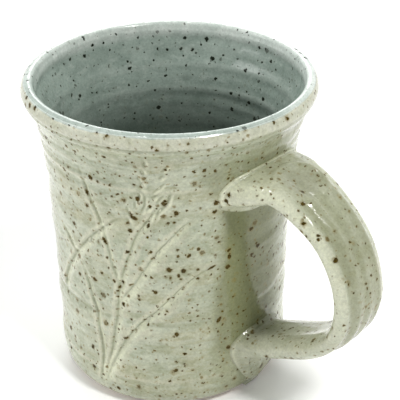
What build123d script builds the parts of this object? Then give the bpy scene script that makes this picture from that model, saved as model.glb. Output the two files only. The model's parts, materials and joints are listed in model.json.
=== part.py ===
from build123d import *
import os
import math

# ----------------------------------------------------------------------------
# Hand-thrown, pulled-handle stoneware mug.  Millimetres, +Z up, handle on +X.
# Origin: centre of the flat base, on the surface the mug stands on.
#
# Pieces: the thrown clay body, the pulled strap handle, the two soft-clay
# joins that weld it to the wall, and the fired glaze coats: a liner glaze
# inside and over the lip, and an outside glaze on the wall and on the handle.
# ----------------------------------------------------------------------------

# --- driving dimensions ------------------------------------------------------
overall_height = 102.2        # base to the crest of the lip
lip_radius = 46.0             # outermost glaze surface of the rolled lip
foot_radius = 30.4            # flat, bare-clay disc the mug stands on
foot_edge_radius = 6.6        # turned-under edge of the base
floor_thickness = 7.0         # clay and glaze at the middle of the floor
glaze = 0.5                   # thickness of every glaze coat

# Glazed outside of the wall, as (radius, height), from the glaze line just
# above the foot to the colour change on the outer bevel of the lip.
outside = [
    (35.35, 1.90), (36.67, 3.75), (37.56, 6.90), (37.70, 16.0),
    (37.86, 26.0), (38.10, 39.0), (38.50, 51.0), (38.98, 61.0),
    (39.62, 71.0), (40.35, 80.0), (41.35, 86.4), (42.60, 91.0),
    (44.05, 94.6), (45.25, 96.3), (45.90, 97.8), (lip_radius, 99.0),
    (45.78, 100.3), (45.00, 101.55),
]

# Glazed inside, from the colour change over the crest of the lip, down the
# wall to the edge of the flat middle of the floor.
inside = [
    (45.00, 101.55), (44.20, 102.05), (43.30, overall_height), (42.55, 101.70),
    (42.10, 100.60), (41.85, 99.2), (40.75, 94.6), (39.05, 90.0),
    (37.75, 86.0), (36.55, 80.0), (35.75, 71.0), (35.05, 61.0),
    (34.50, 51.0), (34.00, 39.0), (33.55, 27.0), (32.75, 18.0),
    (30.40, 12.0), (26.50, 8.70), (23.0, 7.45), (20.0, floor_thickness + 0.04),
    (18.0, floor_thickness),
]

# Handle: centre line of the pulled strap in the XZ plane, root to root, with
# the strap's full width (across Y) and full thickness at each station.
#          x      z     width  thick
handle_stations = [
    (37.0, 79.4, 30.6, 8.4),
    (42.5, 79.9, 29.4, 7.6),
    (50.0, 79.9, 25.2, 6.6),
    (59.4, 75.9, 22.2, 6.2),
    (67.4, 69.3, 20.8, 6.0),
    (73.0, 59.8, 20.6, 5.9),
    (75.0, 48.6, 21.0, 5.9),
    (71.9, 38.8, 20.8, 5.8),
    (64.2, 31.6, 20.2, 5.8),
    (54.0, 26.2, 19.6, 6.0),
    (44.5, 22.2, 19.6, 6.4),
    (36.5, 19.0, 20.0, 7.2),
]

# Upper join: a collar of soft clay round the handle's root, as ellipses in
# planes square to X: (x, height of centre, half width, half height).
upper_collar = [
    (36.0, 78.1, 16.4, 6.6),
    (41.0, 78.5, 15.8, 5.9),
    (44.5, 79.1, 14.8, 4.9),
    (48.5, 79.9, 13.4, 3.6),
]

# Lower join: the strap's tail pressed down the wall, as ellipses in level
# planes: (height, x of centre, half depth, half width).
lower_tail = [
    (4.6, 34.6, 2.5, 3.4),
    (8.5, 35.3, 2.9, 6.6),
    (14.0, 35.6, 3.8, 9.2),
    (18.5, 36.1, 5.0, 10.4),
    (22.0, 36.0, 4.0, 10.0),
    (26.0, 34.4, 2.0, 6.0),
]

# --- helpers -----------------------------------------------------------------
def offset_curve(points, distance):
    """Points moved sideways by distance, to the left of the direction of travel."""
    moved = []
    for i, (r, z) in enumerate(points):
        r0, z0 = points[max(i - 1, 0)]
        r1, z1 = points[min(i + 1, len(points) - 1)]
        length = math.hypot(r1 - r0, z1 - z0)
        moved.append((r - (z1 - z0) / length * distance, z + (r1 - r0) / length * distance))
    return moved


def strap_planes(stations):
    """One plane square to the centre line at each station, local X along +Y."""
    planes = []
    for i, (x, z, _, _) in enumerate(stations):
        x0, z0 = stations[max(i - 1, 0)][:2]
        x1, z1 = stations[min(i + 1, len(stations) - 1)][:2]
        planes.append(Plane(origin=(x, 0, z), x_dir=(0, 1, 0), z_dir=(x1 - x0, 0, z1 - z0)))
    return planes


# Clay lies one glaze thickness under the glazed surface.
clay_outside = offset_curve(outside, glaze)
clay_inside = offset_curve(inside, glaze)
clay_inside[-1] = (inside[-1][0], floor_thickness - glaze)
# Both coats stop on one short line across the lip, so they meet edge to edge.
clay_inside[0] = clay_outside[-1]

# The handle's coat stands a hair clear of the wall's coat.
clear_outside = offset_curve(outside, -0.03)

glaze_line = clay_outside[0]
edge_mid = (
    foot_radius + foot_edge_radius * math.sin(math.radians(22)),
    foot_edge_radius * (1 - math.cos(math.radians(22))),
)

# --- thrown clay body --------------------------------------------------------
with BuildPart() as stoneware_body:
    with BuildSketch(Plane.XZ):
        with BuildLine():
            Line((0, 0), (foot_radius, 0))
            ThreePointArc((foot_radius, 0), edge_mid, glaze_line)
            Spline(*clay_outside)
            Spline(*clay_inside)
            Line(clay_inside[-1], (0, clay_inside[-1][1]))
            Line((0, clay_inside[-1][1]), (0, 0))
        make_face()
    revolve(axis=Axis.Z)

# --- outside glaze on the wall, before the handle is let through it ----------
with BuildPart() as outer_glaze:
    with BuildSketch(Plane.XZ):
        with BuildLine():
            Line(clay_outside[0], outside[0])
            Spline(*outside)
            Line(outside[-1], clay_outside[-1])
            Spline(*clay_outside)
        make_face()
    revolve(axis=Axis.Z)

# --- liner glaze: floor, inside wall, and over the crest of the lip ----------
with BuildPart() as liner_glaze:
    with BuildSketch(Plane.XZ):
        with BuildLine():
            Line(clay_inside[0], inside[0])
            Spline(*inside)
            Line(inside[-1], (0, floor_thickness))
            Line((0, floor_thickness), (0, clay_inside[-1][1]))
            Line((0, clay_inside[-1][1]), clay_inside[-1])
            Spline(*clay_inside)
        make_face()
    revolve(axis=Axis.Z)

# --- solid envelopes the handle is trimmed against ---------------------------
with BuildPart() as clay_envelope:
    with BuildSketch(Plane.XZ):
        with BuildLine():
            Line((0, 0), (foot_radius, 0))
            ThreePointArc((foot_radius, 0), edge_mid, glaze_line)
            Spline(*clay_outside)
            Line(clay_outside[-1], (0, clay_outside[-1][1]))
            Line((0, clay_outside[-1][1]), (0, 0))
        make_face()
    revolve(axis=Axis.Z)

with BuildPart() as glazed_envelope:
    with BuildSketch(Plane.XZ):
        with BuildLine():
            Line((0, 0), (foot_radius, 0))
            ThreePointArc((foot_radius, 0), edge_mid, glaze_line)
            Line(glaze_line, clear_outside[0])
            Spline(*clear_outside)
            Line(clear_outside[-1], (0, clear_outside[-1][1]))
            Line((0, clear_outside[-1][1]), (0, 0))
        make_face()
    revolve(axis=Axis.Z)

# --- pulled strap handle: oval sections, butted against the clay wall --------
with BuildPart() as handle:
    for plane, (_, _, width, thick) in zip(strap_planes(handle_stations), handle_stations):
        with BuildSketch(plane):
            Ellipse(width / 2, thick / 2)
    loft()
    add(clay_envelope.part, mode=Mode.SUBTRACT)

# --- upper join: collar of soft clay worked round the handle's root ----------
with BuildPart() as upper_handle_join:
    for x, height, half_width, half_height in upper_collar:
        with BuildSketch(Plane(origin=(x, 0, height), x_dir=(0, 1, 0), z_dir=(1, 0, 0))):
            Ellipse(half_width, half_height)
    loft()
    add(clay_envelope.part, mode=Mode.SUBTRACT)
    add(handle.part, mode=Mode.SUBTRACT)

# --- lower join: the strap's tail pressed onto the wall ----------------------
with BuildPart() as lower_handle_join:
    for height, x, half_depth, half_width in lower_tail:
        with BuildSketch(Plane.XY.offset(height)):
            with Locations((x, 0)):
                Ellipse(half_depth, half_width)
    loft()
    add(clay_envelope.part, mode=Mode.SUBTRACT)
    add(handle.part, mode=Mode.SUBTRACT)

# --- glaze over the handle and its joins -------------------------------------
with BuildPart() as handle_glaze:
    for plane, (_, _, width, thick) in zip(strap_planes(handle_stations), handle_stations):
        with BuildSketch(plane):
            Ellipse(width / 2 + glaze, thick / 2 + glaze)
    loft()
with BuildPart() as upper_coat:
    for x, height, half_width, half_height in upper_collar:
        with BuildSketch(Plane(origin=(x + glaze / 2, 0, height), x_dir=(0, 1, 0), z_dir=(1, 0, 0))):
            Ellipse(half_width + glaze, half_height + glaze)
    loft()
with BuildPart() as lower_coat:
    for height, x, half_depth, half_width in lower_tail:
        with BuildSketch(Plane.XY.offset(height + (height - 17.0) * 0.03)):
            with Locations((x, 0)):
                Ellipse(half_depth + glaze, half_width + glaze)
    loft()
with handle_glaze:
    add(upper_coat.part)
    add(lower_coat.part)
    add(glazed_envelope.part, mode=Mode.SUBTRACT)
    add(handle.part, mode=Mode.SUBTRACT)
    add(upper_handle_join.part, mode=Mode.SUBTRACT)
    add(lower_handle_join.part, mode=Mode.SUBTRACT)

# --- the wall's glaze stops round the handle's roots and joins ---------------
with outer_glaze:
    add(handle.part, mode=Mode.SUBTRACT)
    add(upper_handle_join.part, mode=Mode.SUBTRACT)
    add(lower_handle_join.part, mode=Mode.SUBTRACT)

# --- labels and files --------------------------------------------------------
stoneware_body.part.label = "stoneware_body"
handle.part.label = "handle"
upper_handle_join.part.label = "upper_handle_join"
lower_handle_join.part.label = "lower_handle_join"
outer_glaze.part.label = "outer_glaze"
liner_glaze.part.label = "liner_glaze"
handle_glaze.part.label = "handle_glaze"

os.makedirs("parts", exist_ok=True)
export_step(stoneware_body.part, "parts/stoneware_body.step")
export_step(handle.part, "parts/handle.step")
export_step(upper_handle_join.part, "parts/upper_handle_join.step")
export_step(lower_handle_join.part, "parts/lower_handle_join.step")
export_step(outer_glaze.part, "parts/outer_glaze.step")
export_step(liner_glaze.part, "parts/liner_glaze.step")
export_step(handle_glaze.part, "parts/handle_glaze.step")

for piece in (
    stoneware_body, handle, upper_handle_join, lower_handle_join,
    outer_glaze, liner_glaze, handle_glaze,
):
    print(piece.part.label, len(piece.part.solids()), round(piece.part.volume, 1), piece.part.is_valid)
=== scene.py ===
import json
import math

import bpy
import numpy as np
from mathutils import Matrix, Vector

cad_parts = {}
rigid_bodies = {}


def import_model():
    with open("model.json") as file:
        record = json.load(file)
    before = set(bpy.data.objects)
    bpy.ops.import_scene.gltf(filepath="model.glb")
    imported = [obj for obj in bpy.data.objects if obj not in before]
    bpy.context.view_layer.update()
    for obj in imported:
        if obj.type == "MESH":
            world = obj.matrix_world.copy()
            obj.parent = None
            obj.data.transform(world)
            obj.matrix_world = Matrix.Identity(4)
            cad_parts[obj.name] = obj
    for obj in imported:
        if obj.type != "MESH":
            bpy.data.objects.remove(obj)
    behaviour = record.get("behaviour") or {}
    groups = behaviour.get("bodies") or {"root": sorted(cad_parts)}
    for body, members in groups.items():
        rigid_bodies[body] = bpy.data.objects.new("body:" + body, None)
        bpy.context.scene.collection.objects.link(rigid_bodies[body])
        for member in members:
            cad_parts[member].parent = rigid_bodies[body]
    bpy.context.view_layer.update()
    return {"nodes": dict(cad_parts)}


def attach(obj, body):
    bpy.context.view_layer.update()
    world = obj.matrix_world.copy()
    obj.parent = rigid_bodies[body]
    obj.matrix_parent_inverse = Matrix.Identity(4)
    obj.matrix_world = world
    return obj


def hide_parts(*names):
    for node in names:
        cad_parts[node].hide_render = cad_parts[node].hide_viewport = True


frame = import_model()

# All shapes are worked out in millimetres in the row frame and written in metres.
MM = 0.001
H = 102.2          # crest of the lip
for stray in [o for o in bpy.data.objects if o.name in ("Cube", "Light", "Camera")]:
    bpy.data.objects.remove(stray)


# ---------------------------------------------------------------- curves ----
def natural_spline(x, y):
    """Second derivatives of the natural cubic through (x, y); y may have columns."""
    x = np.asarray(x, float)
    y = np.asarray(y, float)
    n = len(x)
    h = np.diff(x)
    A = np.zeros((n, n))
    b = np.zeros((n,) + y.shape[1:])
    A[0, 0] = A[-1, -1] = 1.0
    for i in range(1, n - 1):
        A[i, i - 1], A[i, i], A[i, i + 1] = h[i - 1], 2 * (h[i - 1] + h[i]), h[i]
        b[i] = 6 * ((y[i + 1] - y[i]) / h[i] - (y[i] - y[i - 1]) / h[i - 1])
    return x, y, np.linalg.solve(A, b)


def spline_at(s, t):
    x, y, m = s
    t = np.asarray(t, float)
    i = np.clip(np.searchsorted(x, t) - 1, 0, len(x) - 2)
    h = x[i + 1] - x[i]
    a = (x[i + 1] - t) / h
    b = (t - x[i]) / h
    if y.ndim > 1:
        a, b, h = a[..., None], b[..., None], h[..., None]
    return a * y[i] + b * y[i + 1] + ((a**3 - a) * m[i] + (b**3 - b) * m[i + 1]) * h * h / 6


def curve(points, n=None, step=None):
    """Points along a smooth curve through the given ones, evenly spaced."""
    p = np.asarray(points, float)
    u = np.r_[0, np.cumsum(np.linalg.norm(np.diff(p, axis=0), axis=1))]
    s = natural_spline(u, p)
    fine = spline_at(s, np.linspace(0, u[-1], 1500))
    d = np.r_[0, np.cumsum(np.linalg.norm(np.diff(fine, axis=0), axis=1))]
    if n is None:
        n = int(round(d[-1] / step)) + 1
    t = np.linspace(0, d[-1], n)
    return np.stack([np.interp(t, d, fine[:, k]) for k in range(p.shape[1])], -1)


def smooth(a, b, x):
    t = np.clip((np.asarray(x, float) - a) / (b - a), 0, 1)
    return t * t * (3 - 2 * t)


def bell(x, centre, width):
    return np.exp(-(((x - centre) / width) ** 2))


def wave_sum(lengths, seed):
    """A smooth random function of one number, built of waves of the given lengths."""
    r = np.random.RandomState(seed)
    ks = [(2 * math.pi / L, r.uniform(0, 2 * math.pi), r.uniform(0.6, 1.0)) for L in lengths]
    norm = math.sqrt(sum(a * a for _, _, a in ks) / 2)

    def f(x):
        return sum(a * np.sin(k * x + p) for k, p, a in ks) / norm

    return f


ring_a = wave_sum([3.3, 3.9, 4.7, 5.3, 6.4, 7.9], 3)
ring_b = wave_sum([9.0, 12.5, 17.0, 26.0], 4)
ring_c = wave_sum([2.1, 2.6, 3.1], 5)
ring_i = wave_sum([4.2, 5.1, 6.6, 8.3, 11.0], 6)


def around(theta, seed, orders=(1, 2, 3, 4, 5, 7)):
    """A smooth random function of the angle that closes on itself."""
    r = np.random.RandomState(seed)
    out = 0
    for m in orders:
        out = out + r.uniform(0.4, 1.0) / math.sqrt(m) * np.cos(m * theta + r.uniform(0, 2 * math.pi))
    return out / math.sqrt(len(orders) / 3.0)


def blotch(p, scale, seed, n=22):
    """A smooth random function of the place in space."""
    r = np.random.RandomState(seed)
    out = np.zeros(p.shape[:-1])
    for _ in range(n):
        k = r.normal(size=3)
        k /= np.linalg.norm(k)
        out += np.cos(p @ k * (2 * math.pi / (scale * r.uniform(0.7, 1.5))) + r.uniform(0, 2 * math.pi))
    return out / math.sqrt(n / 2)


# --------------------------------------------------- wall: profile, relief ----
OUTSIDE = [
    (35.35, 1.90), (36.67, 3.75), (37.56, 6.90), (37.70, 16.0),
    (37.86, 26.0), (38.10, 39.0), (38.50, 51.0), (38.98, 61.0),
    (39.62, 71.0), (40.35, 80.0), (41.35, 86.4), (42.45, 91.0),
    (43.55, 94.2), (44.75, 95.75), (45.75, 97.2), (46.08, 98.6),
    (45.92, 99.8), (45.55, 100.9), (44.95, 101.62),
]
INSIDE = [
    (44.95, 101.62), (44.25, 102.05), (43.35, 102.2), (42.60, 101.75),
    (42.15, 100.70), (41.85, 99.2), (40.75, 94.6), (39.05, 90.0),
    (37.75, 86.0), (36.55, 80.0), (35.75, 71.0), (35.05, 61.0),
    (34.50, 51.0), (34.00, 39.0), (33.55, 27.0), (32.75, 18.0),
    (30.40, 12.0), (26.50, 8.70), (23.0, 7.45), (20.0, 7.05), (16.0, 7.0),
]
wall_r = natural_spline([z for _, z in OUTSIDE[:16]], [r for r, _ in OUTSIDE[:16]])


def drift(z):
    """The rim of the thrown wall sits a little off the base, as thrown pots do."""
    k = np.clip(z / H, 0, 1.02) ** 2
    return 0.48 * k, 0.87 * k


def tilt(theta, z, r):
    k = np.clip(z / H, 0, 1.02) ** 2
    return (-0.334 * np.cos(theta) - 0.036 * np.sin(theta)) * k * r / 46.0


RM = 38.5            # the radius at which the relief is drawn out flat


def flat(theta_deg, z):
    return math.radians(theta_deg) * RM, z


# Stems of the incised grass, as (angle, height), root first; depth and width in mm.
STEMS = [
    dict(p=[(-84.6, 5.6), (-82.3, 11.6), (-78.6, 20.7), (-75.9, 29.1), (-73.7, 37.3), (-72.5, 44.9), (-70.1, 51.0),
            (-67.6, 56.1), (-64.8, 61.6), (-62.3, 66.1), (-59.6, 68.9), (-56.6, 71.6), (-54.3, 75.1),
            (-51.6, 78.3), (-48.6, 80.6)], a=0.62, w=1.75),
    dict(p=[(-83.4, 6.2), (-79.2, 13.8), (-73.8, 21.7), (-68.0, 28.4), (-60.2, 34.7), (-52.8, 39.7), (-48.1, 43.1),
            (-43.4, 46.6), (-38.8, 49.5), (-31.8, 52.6), (-27.2, 54.3)], a=0.66, w=1.9),
    dict(p=[(-73.6, 38.9), (-70.0, 42.6), (-66.6, 45.9), (-62.4, 50.3), (-56.5, 57.0), (-51.8, 61.7),
            (-47.3, 65.4), (-42.9, 68.7), (-38.6, 71.2), (-35.0, 72.6)], a=0.55, w=2.2),
    dict(p=[(-86.6, 5.2), (-84.9, 10.8), (-84.0, 19.3), (-84.9, 26.9), (-86.0, 33.9), (-88.3, 39.5), (-90.9, 45.0),
            (-93.4, 50.8)], a=0.5, w=1.4),
    dict(p=[(-112.4, 33.0), (-109.6, 40.2), (-104.1, 46.6), (-97.0, 53.0), (-89.4, 59.0), (-82.5, 63.9),
            (-77.8, 66.8), (-72.4, 69.9), (-66.8, 72.6)], a=0.55, w=2.1),
    dict(p=[(-71.8, 43.4), (-72.6, 48.0), (-74.4, 52.1), (-76.2, 57.2), (-77.6, 62.5), (-79.4, 67.5),
            (-82.5, 73.2), (-85.3, 78.6), (-88.6, 86.7)], a=0.42, w=1.2),
    dict(p=[(-96.0, 53.2), (-101.1, 56.6), (-107.5, 60.4)], a=0.3, w=1.4),
]
# The seed head: short uneven dabs of the tool round the top of the tallest stem.
SEEDS = []
_r = np.random.RandomState(23)
for k in range(19):
    t = k / 18.0
    side = 1 if k % 2 else -1
    a, h = -62.0 + 9.5 * t + side * _r.uniform(1.0, 5.2), 68.5 + 21.5 * t + _r.uniform(-1.2, 1.2)
    lean = math.radians(side * _r.uniform(8, 42) + 12)
    length = _r.uniform(1.8, 3.9)
    u0, v0 = flat(a, h)
    SEEDS.append((u0, v0, u0 + math.sin(lean) * length, v0 + math.cos(lean) * length,
                  _r.uniform(0.22, 0.46), _r.uniform(0.55, 0.95), _r.uniform(-0.5, 0.5)))
SEEDS.append((*flat(-50.5, 76.0), *flat(-47.6, 81.5), 0.50, 0.7, 0.35))
SEEDS.append((*flat(-54.5, 72.0), *flat(-50.0, 76.8), 0.48, 0.75, -0.3))
SEEDS.append((*flat(-60.4, 74.0), *flat(-58.2, 80.4), 0.42, 0.7, 0.4))
# Broad soft dents of the finger beside it: angle, height, half width, half height, depth.
DENTS = [(-61.5, 80, 1.9, 8.0, 0.26), (-56.2, 83, 1.7, 8.5, 0.24), (-51.2, 80, 1.6, 7.0, 0.22), (-66.5, 76, 1.8, 6.0, 0.16),
         (-46.5, 84, 1.8, 5.0, 0.12)]


def line_distance(u, v, pts):
    """Signed distance to a flat polyline (+ on its right), and how far along it is, 0 to 1."""
    best = np.full(u.shape, 1e9)
    sign = np.ones(u.shape)
    along = np.zeros(u.shape)
    seg = np.linalg.norm(np.diff(pts, axis=0), axis=1)
    total = seg.sum()
    run = np.r_[0, np.cumsum(seg)]
    for i in range(len(pts) - 1):
        ax, ay = pts[i]
        dx, dy = (pts[i + 1] - pts[i]) / seg[i]
        t = np.clip((u - ax) * dx + (v - ay) * dy, 0, seg[i])
        ex, ey = u - ax - t * dx, v - ay - t * dy
        d = np.hypot(ex, ey)
        m = d < best
        best = np.where(m, d, best)
        sign = np.where(m, np.where(ex * dy - ey * dx > 0, 1.0, -1.0), sign)
        along = np.where(m, (run[i] + t) / total, along)
    return best * sign, along


def relief(theta, z):
    """The incised grass: its height over the wall, where it is darker (glaze pooled in the crease, and painted shade)
    and where it is paler (thinner glaze on the slope, and painted light).
    """
    th = (theta + math.pi) % (2 * math.pi) - math.pi
    u, v = th * RM, z
    out, pool_and_painted_shade, thin_and_painted_light = (np.zeros(u.shape) for _ in range(3))
    near = (u > -126 * math.pi / 180 * RM) & (u < -14 * math.pi / 180 * RM)
    un, vn = u[near], v[near]
    if un.size == 0:
        return out, pool_and_painted_shade, thin_and_painted_light
    hn, pn, tn = (np.zeros(un.shape) for _ in range(3))
    for a, h, w, hh, depth in DENTS:
        cu, cv = flat(a, h)
        hn -= depth * np.exp(-(((un - cu - 0.08 * (vn - cv)) / w) ** 2)) * smooth(hh * 1.3, hh * 0.3, np.abs(vn - cv))
    for i, s in enumerate(STEMS):
        pts = curve([flat(a, b) for a, b in s["p"]], n=30)
        d, t = line_distance(un, vn, pts)
        end = 0.12 + 0.88 * smooth(0.0, 0.10, t) * smooth(1.0, 0.78, t)
        end = end * smooth(0.0, 0.02, t) * smooth(1.0, 0.975, t)
        w = s["w"] * (0.60 + 0.40 * smooth(1.0, 0.35, t))
        wob = 1 + 0.20 * np.sin(t * 37 + i * 1.7) * np.sin(t * 11 + i)
        # A drag of the tool: a crease on one side, and a slope that rises again on the other.
        cut = smooth(-0.95, 0.35, d) * np.exp(-(np.clip(d - 0.2, 0, None) / w) ** 1.6 * 1.0)
        lip = bell(d, -1.15, 0.75) + 0.45 * bell(d, w * 1.45, 0.8)
        hn += 1.22 * s["a"] * end * wob * (-cut + 0.28 * lip)
        # Darker in the crease: pooled glaze and painted shade. Paler on the slope beside it: thinner glaze and painted
        # light.
        pn += 0.42 * end * wob * bell(d, -0.30, 0.30)
        tn += end * wob * (smooth(-0.15, 0.35, d) * smooth(w * 1.55, w * 0.6, d) + 0.30 * bell(d, -1.25, 0.5))
    for k, (u0, v0, u1, v1, dep, wid, bend) in enumerate(SEEDS):
        mu, mv = (u0 + u1) / 2, (v0 + v1) / 2
        pts = np.array([(u0, v0), (mu + bend * (v1 - v0) * 0.25, mv - bend * (u1 - u0) * 0.25), (u1, v1)])
        d, t = line_distance(un, vn, pts)
        body = np.sin(np.clip(t, 0.02, 0.98) * math.pi) ** 0.6
        fade = smooth(wid * 3.0, wid * 1.4, np.abs(d))
        hn += dep * body * fade * (-bell(d, 0.0, wid * 0.55) + 0.55 * bell(d, wid * 1.15, wid * 0.5)
                                   + 0.15 * bell(d, -wid * 1.2, wid * 0.5))
        # The dabs too: darker in the cut with painted shade, paler beside it with painted light.
        pn += 0.50 * body * fade * bell(d, -0.1, wid * 0.40)
        tn += 0.9 * body * fade * bell(d, wid * 1.1, wid * 0.6)
    out[near] = hn
    pool_and_painted_shade[near] = pn
    thin_and_painted_light[near] = tn
    return out, pool_and_painted_shade, thin_and_painted_light


def rings(theta, z):
    """Throwing rings: a slow helix with uneven ridges, and the finger marks between."""
    turn = (theta % (2 * math.pi)) / (2 * math.pi)
    zz = z + 4.2 * turn + 0.55 * around(theta, 11)
    strength = 0.055 + 0.085 * smooth(74, 84, z) * smooth(97, 91, z) + 0.045 * smooth(46, 30, z) * smooth(4, 9, z)
    strength = strength * (0.75 + 0.35 * around(theta, 12, (1, 2, 3)))
    # The helix closes where it is hidden by the handle.
    close = smooth(1.0, 0.86, np.abs(turn * 2 - 1))
    h = strength * (ring_a(zz) * 0.8 + 0.35 * ring_c(zz)) * close
    h = h + strength * (1 - close) * ring_a(z + 2.1)
    h = h + 0.10 * ring_b(z + 0.8 * around(theta, 13, (1, 2))) * smooth(0, 10, z) * smooth(95, 86, z)
    return h


def wall_height(theta, z, p=None):
    """Everything that stands off the plain turned profile of the outside, along its normal."""
    h = rings(theta, z) * smooth(1.9, 6.0, z) * smooth(97.0, 93.5, z)
    g, pool_and_painted_shade, thin_and_painted_light = relief(theta, z)
    h = h + g
    # The lip: a crisp lower corner, the groove under it, and the turned notch further down.
    h = h - 0.24 * bell(z, 97.55, 0.42) * (1 + 0.35 * around(theta, 15, (1, 2, 3)))
    h = h - 0.16 * bell(z, 94.75 + 0.18 * around(theta, 16, (1, 2, 3)), 0.5)
    h = h + 0.10 * bell(z, 99.0, 0.8)
    # Slow unevenness of the hand-thrown wall.
    h = h + 0.10 * around(theta, 17, (2, 3, 4)) * smooth(20, 95, z) + 0.05 * around(theta, 18, (3, 5, 7)) * smooth(94, 99, z)
    return h, pool_and_painted_shade, thin_and_painted_light


# The larger iron blooms in the glaze: angle, height, half length, half width, lean in degrees, strength.
IRON = [
    (-63.3, 72.3, 1.25, 0.65, 62, 1.0), (-64.4, 73.6, 0.7, 0.45, 80, 0.7), (-65.2, 67.7, 0.75, 0.55, 70, 0.9),
    (-61.3, 79.1, 0.85, 0.5, 20, 0.95), (-60.6, 77.7, 0.45, 0.35, 0, 0.7), (-56.1, 76.9, 0.5, 0.45, 0, 0.9),
    (-45.1, 74.7, 0.85, 0.65, 20, 0.95), (-45.9, 71.2, 0.55, 0.45, 60, 0.75), (-49.6, 78.8, 0.6, 0.4, 65, 0.9),
    (-57.2, 69.8, 0.95, 0.38, -28, 0.95), (-78.3, 62.0, 1.5, 0.3, 22, 1.0), (-74.7, 48.0, 0.65, 0.45, 25, 0.95),
    (-72.4, 45.7, 0.6, 0.4, 0, 0.8), (-85.5, 77.7, 1.2, 0.3, 22, 0.95), (-83.9, 74.5, 0.6, 0.22, 22, 0.6),
    (-29.0, 53.7, 1.45, 0.42, -62, 1.0), (-49.0, 43.6, 0.7, 0.25, -38, 0.8), (-39.6, 59.1, 0.85, 0.5, -40, 0.9),
    (-35.4, 61.2, 0.7, 0.5, 10, 0.9), (-20.5, 56.2, 0.95, 0.55, 5, 0.95), (-24.7, 33.3, 1.3, 0.6, -38, 1.0),
    (-45.5, 30.3, 0.8, 0.65, 0, 0.95), (-44.2, 52.1, 0.75, 0.45, 10, 0.9), (-48.0, 51.4, 0.65, 0.35, 0, 0.8),
    (-50.0, 51.7, 0.6, 0.35, 30, 0.65), (-54.8, 45.9, 0.65, 0.6, 0, 0.85), (-62.7, 42.8, 0.7, 0.38, 60, 0.8),
    (-66.2, 47.9, 0.9, 0.3, -70, 0.75), (-81.9, 60.8, 0.65, 0.5, 0, 0.55), (-82.3, 83.6, 0.95, 0.5, 40, 0.95),
    (-98.4, 82.4, 0.8, 0.5, 30, 0.9), (-73.4, 93.0, 0.6, 0.35, 70, 0.9), (-22.9, 82.2, 0.65, 0.45, 80, 0.95),
    (-23.1, 84.4, 0.45, 0.35, 0, 0.8), (140.0, 41.0, 1.1, 0.6, 30, 0.95), (171.0, 63.0, 0.9, 0.5, -20, 0.9),
    (98.0, 30.0, 1.0, 0.6, 10, 0.95), (61.0, 72.0, 0.8, 0.5, 50, 0.9), (205.0, 22.0, 1.2, 0.5, -40, 0.9),
]


def iron_marks(theta, z):
    th = (theta + math.pi) % (2 * math.pi) - math.pi
    out = np.zeros(theta.shape)
    for a, h, length, width, lean, strength in IRON:
        c = (math.radians(a) + math.pi) % (2 * math.pi) - math.pi
        du, dv = (th - c) * RM, z - h
        m = (np.abs(du) < 3) & (np.abs(dv) < 3)
        q = math.radians(lean)
        x, y = du[m] * math.cos(q) + dv[m] * math.sin(q), -du[m] * math.sin(q) + dv[m] * math.cos(q)
        k = np.hypot(x / (width + 0.18), y / (length + 0.18))
        out[m] = np.maximum(out[m], strength * smooth(1.25, 0.45, k))
    return out


# ------------------------------------------------------------ mesh making ----
def link(name, verts, *face_sets):
    """A smooth-shaded mesh object from points in mm and arrays of quads or triangles."""
    me = bpy.data.meshes.new(name)
    v = (np.asarray(verts, float).reshape(-1, 3) * MM).astype(np.float32)
    me.vertices.add(len(v))
    me.vertices.foreach_set("co", v.ravel())
    loops = np.concatenate([f.ravel() for f in face_sets]).astype(np.int32)
    sizes = np.concatenate([np.full(len(f), f.shape[1]) for f in face_sets]).astype(np.int32)
    me.loops.add(len(loops))
    me.loops.foreach_set("vertex_index", loops)
    me.polygons.add(len(sizes))
    me.polygons.foreach_set("loop_start", np.r_[0, np.cumsum(sizes)[:-1]].astype(np.int32))
    me.polygons.foreach_set("loop_total", sizes)
    me.polygons.foreach_set("use_smooth", np.ones(len(sizes), bool))
    me.update(calc_edges=True)
    ob = bpy.data.objects.new(name, me)
    bpy.context.scene.collection.objects.link(ob)
    return ob


def put(ob, name, values):
    a = ob.data.attributes.new(name, "FLOAT", "POINT")
    a.data.foreach_set("value", np.asarray(values, np.float32).ravel())


def sharpen(ob, ids):
    """Edges whose two ends are both in a set of points stay sharp, so coats meet without a dark line."""
    flag = np.zeros(len(ob.data.vertices), bool)
    flag[ids] = True
    e = np.zeros(len(ob.data.edges) * 2, np.int32)
    ob.data.edges.foreach_get("vertices", e)
    e = e.reshape(-1, 2)
    a = ob.data.attributes.new("sharp_edge", "BOOLEAN", "EDGE")
    a.data.foreach_set("value", flag[e].all(1))


def grid_faces(rows, cols):
    i = np.arange(rows - 1)[:, None]
    j = np.arange(cols)[None, :]
    a = i * cols + j
    b = i * cols + (j + 1) % cols
    return np.stack([a, b, b + cols, a + cols], -1).reshape(-1, 4)


def normals2(profile):
    t = np.gradient(profile, axis=0)
    t /= np.linalg.norm(t, axis=1)[:, None]
    return np.stack([t[:, 1], -t[:, 0]], -1)


def turned(profile, normal, height, theta, lean=1.0):
    """Points of a turned surface that stands off its profile along the profile's normal."""
    r = profile[:, 0][:, None] + normal[:, 0][:, None] * height
    z = profile[:, 1][:, None] + normal[:, 1][:, None] * height
    T = theta[None, :] + 0 * r
    dx, dy = drift(z)
    return np.stack([r * np.cos(T) + dx * lean, r * np.sin(T) + dy * lean, z + lean * tilt(T, z, r)], -1)


def columns(fine_from, fine_to, n_fine, n_rest):
    a, b = math.radians(fine_from), math.radians(fine_to)
    fine = np.linspace(a, b, n_fine, endpoint=False)
    rest = np.linspace(b, a + 2 * math.pi, n_rest, endpoint=False)
    return np.r_[fine, rest]


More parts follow.
